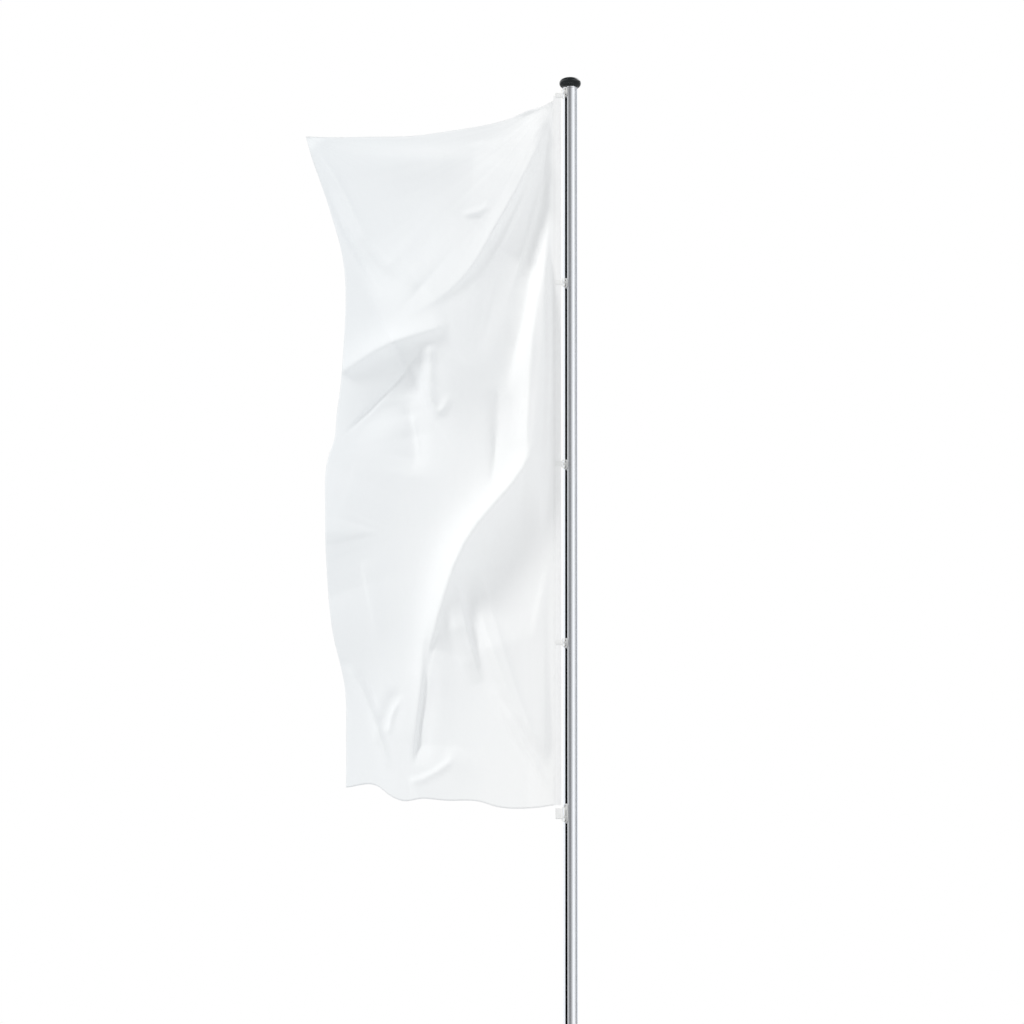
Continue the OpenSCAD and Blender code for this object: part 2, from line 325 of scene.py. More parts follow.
# The groove is lined with a black sliding plastic, pushed in from the top end. It is matt, with
# faint rub marks that run along it where the sliders pass.
glide = Finish(
    "black_glide", base_color=(0.012, 0.012, 0.013), roughness=0.5, specular_ior_level=0.3)
rubs = glide.noise(glide.place((1, 1, 0.01)), 0.002)
glide.feed("Roughness", 0.45 + 0.25 * rubs)
glide.bump(rubs, 0.0001, 0.3)
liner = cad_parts["groove_liner"]
liner.data.materials.clear()
liner.data.materials.append(glide.material)

# The cap is a black mushroom moulding, pressed into the tube by its spigot. It has a round edge,
# a faint crown, a short neck with a small fillet, and a high gloss.
cap_low, cap_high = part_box("mast_cap")
cap_radius = (cap_high[0] - cap_low[0]) / 2
cap_edge = 0.0205
neck_radius = mast_radius + 0.0015
neck_height = 0.008
seat = collar_high[2]


def arc(centre_x, centre_z, radius, first, last, count):
    """Points of an arc in the X-Z plane, its angles in degrees from +X."""
    step = (last - first) / (count - 1)
    angles = [math.radians(first + step * k) for k in range(count)]
    return [Vector((centre_x + radius * math.cos(a), 0, centre_z + radius * math.sin(a)))
            for a in angles]


def turned(points, steps=96):
    """A solid of revolution about Z, from its profile between two points on the axis."""
    bm = bmesh.new()
    verts = [bm.verts.new(p) for p in points]
    edges = [bm.edges.new(pair) for pair in zip(verts, verts[1:])]
    bmesh.ops.spin(
        bm, geom=verts + edges, cent=(0, 0, 0), axis=(0, 0, 1), angle=2 * math.pi,
        steps=steps, use_merge=True)
    bmesh.ops.remove_doubles(bm, verts=bm.verts, dist=1e-6)
    bmesh.ops.recalc_face_normals(bm, faces=bm.faces)
    return bm


black_gloss = Finish(
    "black_gloss", base_color=(0.008, 0.011, 0.012), roughness=0.16, specular_ior_level=0.32,
    coat_roughness=0.05, coat_weight=0.25)
skin = black_gloss.noise(black_gloss.place(), 0.004, 2.0)
dust = black_gloss.noise(black_gloss.place(), 0.03, 6.0)
black_gloss.feed("Roughness", 0.12 + 0.16 * dust)
black_gloss.feed("Base Color", black_gloss.tint(dust, (0.004, 0.006, 0.007), (0.013, 0.018, 0.019)))
black_gloss.bump(skin, 0.0001, 0.15)
edge_x = cap_radius - cap_edge
edge_z = seat + neck_height + cap_edge
crown_rise = 0.0016
cap_profile = [
    Vector((0, 0, seat - 0.02)), Vector((mast_radius - 0.004, 0, seat - 0.02)),
    Vector((mast_radius - 0.004, 0, seat + 0.0004)), Vector((neck_radius - 0.0008, 0, seat + 0.0004)),
    Vector((neck_radius, 0, seat + 0.0012)),
    *arc(neck_radius + 0.004, seat + neck_height - 0.0035, 0.004, 180, 105, 6),
    *arc(edge_x, edge_z, cap_edge, -78, 74, 30),
    *[Vector((x * edge_x, 0, cap_high[2] - crown_rise * x * x)) for x in (0.9, 0.7, 0.5, 0.3, 0.12)],
    Vector((0, 0, cap_high[2]))]
set_piece("mushroom_cap", turned(cap_profile), black_gloss, "mast", ["mast_cap"])

# The sliders are moulded in grey nylon. Each has a foot in the groove, a plate with round ends
# over the slot and an eye lug, and its mould has left every edge slightly round.
def softened(node):
    """A merged copy of a CAD node's mesh, with its flat faces whole."""
    bm = bmesh.new()
    bm.from_mesh(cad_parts[node].data)
    bmesh.ops.remove_doubles(bm, verts=bm.verts, dist=1e-6)
    bmesh.ops.dissolve_limit(
        bm, angle_limit=math.radians(1), verts=bm.verts, edges=bm.edges)
    return bm


slider_grey = Finish(
    "slider_grey", base_color=(0.62, 0.62, 0.62), roughness=0.42, specular_ior_level=0.45)
grain = slider_grey.noise(slider_grey.place(), 0.0006, 2.0)
scuffs = slider_grey.noise(slider_grey.place((1, 1, 0.3)), 0.008, 5.0)
slider_grey.feed("Base Color", slider_grey.tint(scuffs, (0.52, 0.52, 0.515), (0.72, 0.72, 0.71)))
slider_grey.feed("Roughness", 0.34 + 0.2 * scuffs)
slider_grey.bump(grain, 0.0001, 0.25)

fittings = range(1, 6)
for number in fittings:
    set_piece(
        f"slider_{number}_body", softened(f"slider_{number}"), slider_grey, "slider_train",
        [f"slider_{number}"], bevel=0.0006, segments=2, smooth_angle=40)

# Each slider plate is held to its foot by two steel rivets with domed heads, set in shallow
# dark recesses above and below the eye.
groove_way = Vector((math.cos(groove_turn), math.sin(groove_turn), 0))
plate_face = mast_radius + 0.0045
rivet_steel = Finish("rivet_steel", base_color=(0.32, 0.32, 0.33), metallic=1.0, roughness=0.35)
rivet_steel.feed("Roughness", 0.3 + 0.25 * rivet_steel.noise(rivet_steel.place(), 0.002))


def rivet_head(bm, centre, radius, height):
    """A low dome that stands out of the plate along the groove's direction."""
    face_on = groove_way.to_track_quat("Z", "Y").to_matrix().to_4x4()
    bmesh.ops.create_uvsphere(
        bm, u_segments=20, v_segments=10, radius=1.0,
        matrix=Matrix.Translation(centre) @ face_on @ Matrix.Diagonal((radius, radius, height, 1)))


rivet_radius, rivet_height, rivet_from_end = 0.0034, 0.0016, 0.012
for number in fittings:
    low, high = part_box(f"slider_{number}")
    rivets = bmesh.new()
    for z in (low[2] + rivet_from_end, high[2] - rivet_from_end):
        centre = groove_way * plate_face + Vector((0, 0, z))
        rivet_head(rivets, centre, rivet_radius, rivet_height)
    set_piece(
        f"slider_{number}_rivets", rivets, rivet_steel, "slider_train",
        smooth_angle=60)

# The snap hooks are bent from white nylon rod. One leg turns in the slider's eye; the other has
# a sleeve where the gate snaps shut, and it carries the webbing.
hook_white = Finish("hook_white", base_color=(0.8, 0.8, 0.77), roughness=0.36)
hook_grain = hook_white.noise(hook_white.place(), 0.0008, 2.0)
hook_wear = hook_white.noise(hook_white.place(), 0.01, 4.0)
hook_white.feed("Base Color", hook_white.tint(hook_wear, (0.84, 0.84, 0.81), (0.93, 0.93, 0.91)))
hook_white.feed("Roughness", 0.3 + 0.2 * hook_wear)
hook_white.bump(hook_grain, 0.00008, 0.2)


def rod_ring(bm, radius, path):
    """A round rod bent into a closed ring along a path of points, square to it at each."""
    count = len(path)
    rings = []
    for k, point in enumerate(path):
        way = path[(k + 1) % count] - path[k - 1]
        turn = way.to_track_quat("Z", "Y").to_matrix().to_4x4()
        made = bmesh.ops.create_circle(
            bm, segments=14, radius=radius, matrix=Matrix.Translation(point) @ turn)
        verts = made["verts"]
        rings.append([e for e in bm.edges if e.verts[0] in verts and e.verts[1] in verts])
    for a, b in zip(rings, rings[1:] + rings[:1]):
        bmesh.ops.bridge_loops(bm, edges=a + b)


def corners(node):
    """A CAD node's lowest and highest corners."""
    return [Vector(corner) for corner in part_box(node)]


rod_radius = 0.0025
gate_radius, gate_length = rod_radius * 1.25, 0.006
for number in fittings:
    low, high = corners(f"snap_hook_{number}")
    middle = (low + high) / 2
    reach = high.x - low.x - 2 * rod_radius
    straight = high.z - low.z - 2 * rod_radius - reach
    half_ring = [
        Vector((reach / 2 * math.cos(a), 0, straight / 2 + reach / 2 * math.sin(a)))
        for a in [math.pi * k / 12 for k in range(13)]]
    path = [middle + p for p in half_ring] + [middle - p for p in half_ring]
    hook = bmesh.new()
    rod_ring(hook, rod_radius, path)
    outer_leg = Vector((low.x + rod_radius, middle.y, middle.z))
    for end in (-0.5, 0.5):
        gate_end = outer_leg + Vector((0, 0, end * (straight - 0.002)))
        bmesh.ops.create_cone(
            hook, cap_ends=True, segments=20, radius1=gate_radius, radius2=gate_radius,
            depth=gate_length, matrix=Matrix.Translation(gate_end))
    bmesh.ops.recalc_face_normals(hook, faces=hook.faces)
    set_piece(
        f"hook_{number}", hook, hook_white, "flag", [f"snap_hook_{number}"],
        bevel=0.0003, smooth_angle=50)

# The webbing loops are folded round the hooks and sewn through the heading with a box of zigzag
# stitches. The webbing is a plain polyester weave with a cord-like rib.
webbing = Finish(
    "webbing_white", base_color=(0.82, 0.82, 0.8), roughness=0.7, sheen_weight=0.3,
    sheen_roughness=0.4)
rib_pitch = 0.0016
web_x, _, web_z = webbing.axes(webbing.place())
ribs = webbing.math("SINE", web_z * (2 * math.pi / rib_pitch)) * 0.5 + 0.5
picks = webbing.math("SINE", web_x * (2 * math.pi / (rib_pitch * 1.4))) * 0.5 + 0.5
weave = ribs * 0.7 + ribs * picks * 0.3
webbing.feed("Base Color", webbing.tint(weave, (0.86, 0.86, 0.85), (0.95, 0.95, 0.945)))
webbing.feed("Roughness", 0.62 + 0.2 * webbing.noise(webbing.place(), 0.004))
webbing.bump(weave, 0.0003, 0.8)
thread = Finish("sewing_thread", base_color=(0.74, 0.74, 0.72), roughness=0.6, sheen_weight=0.4)
thread.bump(thread.noise(thread.place(), 0.0005), 0.0001, 0.5)

stitch_long, stitch_thick = 0.0032, 0.00045
for number in fittings:
    node = f"webbing_loop_{number}"
    set_piece(
        f"loop_{number}", softened(node), webbing, "flag", [node],
        bevel=0.0004, smooth_angle=40)
    low, high = corners(node)
    arm_face = (high.y - low.y) / 2 - 0.0014
    left, right = low.x + 0.004, low.x + 0.026
    rows = max(3, int((high.z - low.z - 0.006) / stitch_long))
    columns = int((right - left) / stitch_long)
    upright = [
        (x, low.z + 0.004 + stitch_long * (k + 0.5)) for x in (left, right) for k in range(rows)]
    level = [
        (left + stitch_long * (k + 0.5), z) for z in (low.z + 0.004, high.z - 0.004)
        for k in range(columns)]
    seam = bmesh.new()
    for side in (-1, 1):
        face_y = (low.y + high.y) / 2 + side * arm_face
        for spots, size in (
                (upright, (stitch_thick, stitch_thick, stitch_long * 0.42, 1)),
                (level, (stitch_long * 0.42, stitch_thick, stitch_thick, 1))):
            for x, z in spots:
                bmesh.ops.create_icosphere(
                    seam, subdivisions=1, radius=1.0,
                    matrix=Matrix.Translation((x, face_y, z)) @ Matrix.Diagonal(size))
    set_piece(f"loop_{number}_stitches", seam, thread, "flag", smooth_angle=80)

# The heading is a strong tape folded over the flag's hoist edge, closed at both ends and sewn
# down with two rows of lockstitch. It lies almost straight, with a little pucker.
tape_low, tape_high = corners("heading_tape")
tape_mid = (tape_low + tape_high) / 2
tape_thick = tape_high.y - tape_low.y
heading = Finish(
    "heading_tape", base_color=(0.86, 0.86, 0.85), roughness=0.6, sheen_weight=0.25,
    sheen_roughness=0.4)
tape_x, _, tape_z = heading.axes(heading.place())


def lockstitch(centre, pitch=0.0045, half_width=0.0008):
    """1 on an upright row of stitches at X centre, 0 beside it and between them."""
    beside = heading.math("ABSOLUTE", tape_x - centre) / half_width
    dash = heading.math("GREATER_THAN", heading.math("FRACT", tape_z / pitch), 0.22)
    return (1.0 - heading.math("SMOOTH_MIN", beside, 1.0, 0.2)) * dash


rows = lockstitch(tape_low.x + 0.004) + lockstitch(tape_low.x + 0.010)
tape_ribs = heading.math("SINE", tape_x * (2 * math.pi / 0.0018)) * 0.5 + 0.5
pucker = heading.noise(heading.place((1, 1, 0.35)), 0.012, 3.0)
heading.feed("Base Color", heading.tint(
    rows * 0.8 + 0.25 * pucker, (0.95, 0.95, 0.95), (0.74, 0.74, 0.73)))
heading.feed("Roughness", 0.55 + 0.2 * pucker)
heading.bump(tape_ribs * 0.25 + pucker * 0.6 - rows * 0.5, 0.0012, 0.6)

tape = bmesh.new()
bmesh.ops.create_cube(tape, size=1.0, matrix=Matrix.Translation(tape_mid) @ Matrix.Diagonal(
    (tape_high.x - tape_low.x, tape_thick * 0.6, tape_high.z - tape_low.z, 1)))


def long_edges(bm):
    """The edges that run the height of a strip."""
    return [e for e in bm.edges if abs(e.verts[0].co.z - e.verts[1].co.z) > 1]


bmesh.ops.bevel(
    tape, geom=long_edges(tape), offset=tape_thick * 0.27, segments=3, affect="EDGES",
    profile=0.5, material=-1)
bmesh.ops.subdivide_edges(tape, edges=long_edges(tape), cuts=240, use_grid_fill=True)
for vert in tape.verts:
    vert.co.y += 0.0003 * math.sin(vert.co.z * 37) + 0.0001 * math.sin(vert.co.z * 91 + 1)
set_piece("heading", tape, heading, "flag", ["heading_tape"])

# The flag is one length of knitted polyester satin, 1.46 m beyond its heading and 4 m tall. It
# hangs from its top corner at the hoist and flies from a light wind, so a hard ridge runs down
# from that corner, the fly corner pulls the top taut, and the rest falls in soft long folds.
cloth_high = corners("flag")[1]
cut_width, cut_height = 1.46, 4.0
cells_across, cells_down = 130, 340
hinge_y = tape_mid.y


def eased(t, start, end, start_slope, end_slope):
    """A smooth step from start to end as t runs from 0 to 1, with a given slope at each."""
    return (
        (2 * t**3 - 3 * t**2 + 1) * start + (t**3 - 2 * t**2 + t) * start_slope
        + (3 * t**2 - 2 * t**3) * end + (t**3 - t**2) * end_slope)


def smooth_line(points):
    """A smooth curve through points (place, value), for numpy arrays of places."""
    at = np.array([p[0] for p in points])
    value = np.array([p[1] for p in points])
    slope = np.gradient(value, at)

    def curve(x):
        x = np.clip(x, at[0], at[-1])
        k = np.clip(np.searchsorted(at, x) - 1, 0, len(at) - 2)
        span = at[k + 1] - at[k]
        t = (x - at[k]) / span
        return eased(t, value[k], value[k + 1], span * slope[k], span * slope[k + 1])

    return curve


# The lie of the cloth is drawn on a board that leans back by the view's pitch: across runs from
# the mast towards the fly and down runs from the mast's top, both in metres.
hoist_across = -(cloth_high.x + 0.006)
hoist_top, hoist_foot = 0.06, 3.745
fly_top, fly_foot = 0.254, 3.654
fly_top_across, fly_foot_across = 1.383, 1.169
top_edge = smooth_line([
    (hoist_across, hoist_top), (0.13, 0.086), (0.225, 0.118), (0.33, 0.163), (0.433, 0.19),
    (0.626, 0.223), (0.825, 0.25), (1.03, 0.255), (1.30, 0.257), (fly_top_across, fly_top)])
foot_edge = smooth_line([
    (hoist_across, hoist_foot), (0.172, 3.758), (0.386, 3.753), (0.475, 3.727), (0.647, 3.722),
    (0.767, 3.712), (0.882, 3.722), (0.94, 3.696), (1.0, 3.65), (fly_foot_across, fly_foot)])
fly_edge = smooth_line([
    (fly_top, fly_top_across), (0.38, 1.347), (0.496, 1.305), (0.673, 1.247), (0.887, 1.19), (1.0, 1.177),
    (1.17, 1.175), (1.35, 1.185), (1.56, 1.2), (1.71, 1.22), (1.837, 1.232), (1.942, 1.266),
    (2.23, 1.279), (2.57, 1.268), (2.83, 1.242), (3.14, 1.175), (3.4, 1.169),
    (fly_foot, fly_foot_across)])


def lie_flat(u, w):
    """Board coordinates of the cloth at u from hoist to fly and w from top to foot."""
    hoist_down = hoist_top + (hoist_foot - hoist_top) * w
    fly_down = fly_top + (fly_foot - fly_top) * w
    top_across = hoist_across + (fly_top_across - hoist_across) * u
    foot_across = hoist_across + (fly_foot_across - hoist_across) * u
    corner_across = (
        hoist_across * (1 - u) + u * ((1 - w) * fly_top_across + w * fly_foot_across))
    corner_down = (1 - u) * hoist_down + u * fly_down
    across = (
        (1 - u) * hoist_across + u * fly_edge(fly_down)
        + (1 - w) * top_across + w * foot_across - corner_across)
    down = (
        (1 - u) * hoist_down + u * fly_down
        + (1 - w) * top_edge(top_across) + w * foot_edge(foot_across) - corner_down)
    return across, down


def curved(points, parts=4):
    """A smooth line through points, as many short legs."""
    points = np.array(points, float)
    slope = np.gradient(points, axis=0)
    t = (np.arange(parts) / parts)[:, None]
    bends = [
        eased(t, points[k], points[k + 1], slope[k], slope[k + 1]) for k in range(len(points) - 1)]
    return np.concatenate(bends + [points[-1:]])


def fold(spot, line, rise, fly_side, mast_side, fade=(0.0, 0.0), sharp=1.0):
    """The depth of a fold along a line on the board: its rise towards the viewer at even steps,
    a width on each side, and the shares of its ends over which it fades."""
    across, down = spot
    line = curved(line)
    legs = np.hypot(*np.diff(line, axis=0).T)
    start = np.concatenate([[0], np.cumsum(legs)])
    nearest = np.full(across.shape, 1e9)
    side = np.zeros(across.shape)
    along = np.zeros(across.shape)
    for k, leg in enumerate(legs):
        (a0, d0), (a1, d1) = line[k], line[k + 1]
        share = ((across - a0) * (a1 - a0) + (down - d0) * (d1 - d0)) / leg**2
        share = np.clip(share, 0, 1)
        reach = np.hypot(across - a0 - share * (a1 - a0), down - d0 - share * (d1 - d0))
        nearer = reach < nearest
        nearest = np.where(nearer, reach, nearest)
        offset = ((across - a0) * (d1 - d0) - (down - d0) * (a1 - a0)) / leg
        side = np.where(nearer, offset, side)
        along = np.where(nearer, (start[k] + share * leg) / start[-1], along)
    lean = np.clip(side / (nearest + 0.0001), -1, 1)
    width = mast_side + (fly_side - mast_side) * (0.5 + 0.5 * lean)
    height = np.interp(along, np.linspace(0, 1, len(rise)), rise)
    for end, share in zip((along, 1 - along), fade):
        if share:
            height = height * np.clip(end / share, 0, 1) ** 0.8
    return -height * np.exp(-((nearest / width) ** (2 * sharp)))


# The heading is held flat, and so is the cloth just beside it, up to this share of its width.
flat_share = 0.014


def near_hoist(u):
    """The broad folds die out towards the heading."""
    start = np.clip((u - flat_share) * 30, 0, 1)
    return np.clip(u * 8, 0, 1) ** 0.7 * start * start * (3 - 2 * start)


def broad_folds(across, down, u, w):
    """How far each point of the cloth stands back from the hinge plane, before it settles."""
    spot = (across, down)
    back = u * (-0.128 + 0.313 * w)
    # the broad ridge that runs from the hoist's top corner down across the cloth
    back += fold(
        spot, [(0.203, 0.095), (0.155, 0.332), (0.315, 0.765), (0.615, 1.109), (0.942, 1.298)],
        [-0.0488, 0.0633, 0.0006, 0.1024, 0.1818], 0.269, 0.49, (0.02, 0.2), 1.58)
    # the long soft fold from the same corner, which swings out and down to the foot
    back += fold(
        spot,
        [(0.189, 0.146), (0.018, 0.487), (0.174, 1.103), (0.224, 1.755),
         (0.254, 1.99), (0.561, 2.385), (0.735, 2.926), (0.779, 3.427)],
        [0.074, 0.043, 0.072, 0.088, 0.138, 0.18, 0.06, 0.058], 0.063, 0.122, (0.02, 0.1), 0.55)
    # a shallow fold close to the hoist
    back += fold(
        spot, [(0.094, 0.18), (0.087, 1.119), (0.157, 2.171), (0.112, 3.548)],
        [-0.0933, 0.0989, -0.0019, 0.019], 0.066, 0.015, (0.05, 0.05), 1.28)
    # the band pulled from the middle of the fly towards the ridge
    back += fold(
        spot, [(0.637, 1.239), (0.954, 1.344), (1.201, 1.492)],
        [0.0224, 0.0612, 0.0272], 0.072, 0.039, (0.1, 0.05), 0.61)
    # the belly of the cloth below the hollow
    back += fold(
        spot, [(1.232, 1.984), (1.357, 2.312), (1.253, 2.662)],
        [0.05, 0.1, 0.05], 0.36, 0.34, (0, 0), 1.1)
    # the second of two folds that fan out below the long fold's turn
    back += fold(
        spot, [(0.508, 2.516), (0.451, 2.8), (0.273, 3.262), (-0.005, 3.622)],
        [0.05, 0.09, 0.055, 0.012], 0.051, 0.206, (0.35, 0.2), 0.69)
    # the fold pulled from the fly's top corner
    back += fold(
        spot, [(1.377, 0.264), (1.183, 0.546), (1.013, 0.833), (0.787, 1.045)],
        [0.0463, 0.0443, 0.0568, 0.0844], 0.088, 0.214, (0.05, 0.2), 0.58)
    # the trough below the top hem
    back += fold(
        spot, [(1.317, 0.32), (0.983, 0.358), (0.512, 0.372)],
        [-0.0017, 0.0252, 0.029], 0.138, 0.046, (0.1, 0.2), 0.97)
    # two streaks between the ridge and the long fold
    back += fold(
        spot, [(0.16, 0.31), (0.3, 0.686), (0.392, 1.116), (0.539, 1.449)],
        [0.0064, -0.0101, -0.027, -0.0213], 0.108, 0.089, (0.1, 0.2), 0.91)
    back += fold(
        spot, [(0.079, 0.368), (0.216, 1.072), (0.352, 1.599)],
        [-0.0961, -0.0929, -0.0416], 0.115, 0.048, (0.1, 0.2), 0.84)
    # a fold in the foot's outer corner
    back += fold(
        spot, [(1.18, 2.97), (1.027, 3.182), (0.996, 3.433)],
        [-0.001, -0.0078, 0.0128], 0.03, 0.016, (0.1, 0.2), 1)
    # the curl of the foot under the long fold
    back += fold(
        spot, [(0.839, 3.643), (0.695, 3.609), (0.577, 3.445)],
        [0.0083, 0.0065, 0.0161], 0.111, 0.032, (0.1, 0.2), 0.97)
    # a small tuck above that curl
    back += fold(
        spot, [(0.989, 3.356), (0.93, 3.198), (0.869, 3.177)],
        [-0.0121, -0.0092, -0.0092], 0.061, 0.033, (0.2, 0.2), 1.06)
    # the small tuck beside the long fold, where it turns
    back += fold(
        spot, [(0.388, 1.557), (0.384, 1.841), (0.401, 2.103)],
        [-0.0084, -0.022, -0.0039], 0.033, 0.035, (0.1, 0.1), 0.74)
    # the hollow under the band from the fly
    back += fold(
        spot, [(0.778, 1.356), (0.844, 1.562), (1.004, 1.697), (1.179, 1.843)],
        [-0.015, -0.04, -0.034, -0.001], 0.123, 0.09, (0.1, 0.05), 0.98)
    # the first fold of that fan
    back += fold(
        spot, [(0.589, 2.51), (0.604, 2.748), (0.487, 3.116)],
        [-0.0139, 0.0453, 0.0125], 0.044, 0.065, (0.3, 0.2), 1.03)
    # a small fold below the crescent
    back += fold(
        spot, [(0.868, 1.628), (0.812, 1.867), (0.825, 2.021)],
        [-0.0291, -0.0528, -0.0221], 0.123, 0.068, (0.2, 0.2), 0.64)
    return back * near_hoist(u)


def fine_creases(across, down, u):
    """The narrow creases that the settled cloth gets on top, where it is pulled or bent hard."""
    spot = (across, down)
    back = np.zeros(across.shape)
    # a short fold at the fly beside the belly
    back += fold(spot, [(1.105, 1.963), (1.226, 2.309)], [0.002, 0.001], 0.02, 0.095, (0.2, 0.2), 0.88)
    # a short fold on the belly
    back += fold(spot, [(1.085, 2.465), (1.005, 2.867)], [0.006, 0.003], 0.013, 0.06, (0.2, 0.2), 1.05)
    # a short fold between the fan and the hoist
    back += fold(
        spot, [(0.07, 2.335), (0.119, 2.556), (0.204, 2.905)],
        [0.012, 0.012, 0.003], 0.022, 0.05, (0.4, 0.2), 1.04)
    # a crescent where the ridge and the band meet
    back += fold(
        spot, [(0.739, 1.334), (0.733, 1.55), (0.699, 1.703), (0.615, 1.604)],
        [0.0136, 0.022, 0.0042, 0.0052], 0.026, 0.029, (0.1, 0.1), 1.04)
    # the hard edge beside the foot of the long fold
    back += fold(
        spot, [(0.673, 2.662), (0.741, 2.908), (0.762, 3.2), (0.799, 3.539)],
        [-0.004, -0.02, -0.024, -0.017], 0.018, 0.06, (0.4, 0.1), 1.13)
    # small creases below the top hem and beside the ridge
    back += fold(
        spot, [(0.562, 0.666), (0.484, 0.648), (0.413, 0.611)],
        [0.0079, 0.009, 0.0032], 0.014, 0.017, (0.2, 0.2), 1.02)
    back += fold(
        spot, [(0.064, 0.324), (0.158, 0.795), (0.246, 1.212)],
        [0.0035, 0.0078, 0.0039], 0.014, 0.015, (0.1, 0.3), 1.04)
    # a narrow crease beside the fold from the fly corner
    back += fold(
        spot, [(1.302, 0.433), (1.187, 0.727), (0.982, 1.086)],
        [-0.0008, -0.0141, -0.0111], 0.017, 0.015, (0.1, 0.3), 1.12)
    # a fine fold from the hoist foot corner
    back += fold(
        spot, [(0.105, 3.674), (0.269, 3.382), (0.414, 3.142)],
        [0.0081, 0.0131, 0.0014], 0.017, 0.018, (0.1, 0.3), 1.08)
    # the hard crease along the hollow
    back += fold(
        spot, [(0.793, 1.379), (0.941, 1.585), (1.176, 1.815)],
        [-0.0042, -0.0013, -0.0012], 0.012, 0.009, (0.1, 0.1), 1)
    # two narrow folds beside the long fold
    back += fold(
        spot, [(0.306, 0.72), (0.398, 1.027), (0.47, 1.315)],
        [0.0015, 0.0012, 0.0017], 0.015, 0.011, (0.2, 0.3), 1)
    back += fold(
        spot, [(0.2, 1.264), (0.213, 1.733), (0.251, 2.207)],
        [0.0035, -0.0081, -0.0072], 0.021, 0.015, (0.2, 0.3), 1.07)
    # the crest of the ridge, hard and narrow from the hoist's top corner
    back += fold(
        spot,
        [(0.057, 0.078), (0.157, 0.282), (0.271, 0.512), (0.402, 0.746),
         (0.532, 0.955), (0.679, 1.096), (0.877, 1.211)],
        [0.014, 0.028, 0.032, 0.03, 0.022, 0.012, 0.003], 0.05, 0.018, (0.02, 0.2), 0.6)
    # fine folds beside the crest
    back += fold(
        spot, [(0.068, 0.125), (0.183, 0.428), (0.303, 0.699), (0.428, 0.94), (0.543, 1.107)],
        [0.003, 0.008, 0.009, 0.006, 0.002], 0.016, 0.012, (0.1, 0.3), 0.9)
    back += fold(
        spot, [(0.063, 0.219), (0.151, 0.532), (0.24, 0.846), (0.339, 1.159)],
        [0.004, 0.009, 0.009, 0.004], 0.018, 0.012, (0.1, 0.3), 0.9)
    # the crest of the fold from the fly's top corner
    back += fold(
        spot, [(1.336, 0.287), (1.201, 0.522), (1.044, 0.846), (0.903, 0.997)],
        [0.004, 0.011, 0.011, 0.004], 0.022, 0.02, (0.05, 0.2), 0.9)
    # the hard edge of the first fan fold
    back += fold(
        spot, [(0.6, 2.511), (0.569, 2.688), (0.527, 2.881), (0.465, 3.111)],
        [0.008, 0.018, 0.018, 0.008], 0.03, 0.013, (0.05, 0.3), 0.7)
    # the edge of the crescent
    back += fold(
        spot, [(0.773, 1.347), (0.767, 1.482), (0.731, 1.613), (0.684, 1.691), (0.626, 1.608)],
        [0.006, 0.009, 0.009, 0.008, 0.003], 0.016, 0.012, (0.1, 0.2), 0.9)
    # the crease along that edge
    back += fold(
        spot, [(0.679, 2.819), (0.736, 2.986), (0.767, 3.221), (0.814, 3.539)],
        [-0.005, -0.009, -0.009, -0.006], 0.016, 0.014, (0.1, 0.1), 0.9)
    # the rim of the curl
    back += fold(
        spot, [(0.84, 3.623), (0.762, 3.602), (0.679, 3.555), (0.606, 3.497)],
        [0.008, 0.014, 0.014, 0.006], 0.022, 0.012, (0.1, 0.2), 0.8)
    # small creases in the foot's outer corner
    back += fold(
        spot, [(0.95, 3.377), (0.924, 3.262), (0.872, 3.179)],
        [0.008, 0.012, 0.005], 0.016, 0.013, (0.1, 0.3), 0.8)
    back += fold(
        spot, [(1.164, 3.007), (1.081, 3.153), (1.007, 3.341), (0.94, 3.56)],
        [0.006, 0.013, 0.013, 0.006], 0.026, 0.018, (0.1, 0.2), 0.8)
    # a short crease below the crescent
    back += fold(
        spot, [(0.82, 1.723), (0.799, 1.837), (0.778, 1.963)],
        [0.005, 0.006, 0.002], 0.016, 0.012, (0.1, 0.3), 0.9)
    # the crest of the second fan fold
    back += fold(
        spot, [(0.491, 2.495), (0.397, 2.777), (0.282, 3.142), (0.115, 3.586)],
        [0.004, 0.007, 0.006, 0.003], 0.022, 0.016, (0.1, 0.2), 0.9)
    # the dark tuck where the long fold turns
    back += fold(
        spot, [(0.407, 1.759), (0.397, 1.916), (0.423, 2.098)],
        [-0.004, -0.007, -0.003], 0.01, 0.01, (0.2, 0.2), 0.9)
    # the crease that closes the hollow
    back += fold(
        spot, [(0.778, 1.378), (0.887, 1.519), (1.034, 1.67), (1.18, 1.817)],
        [-0.003, -0.008, -0.008, -0.003], 0.01, 0.01, (0.1, 0.1), 0.8)
    return back * np.clip((u - flat_share) * 15, 0, 1)


def from_board(across, down, back):
    """Frame coordinates of points on the board that stand back from the hinge plane."""
    y = hinge_y + back
    z = seat + (y * math.sin(view_pitch) - down) / math.cos(view_pitch)
    return np.stack([-across, y, z], axis=-1)


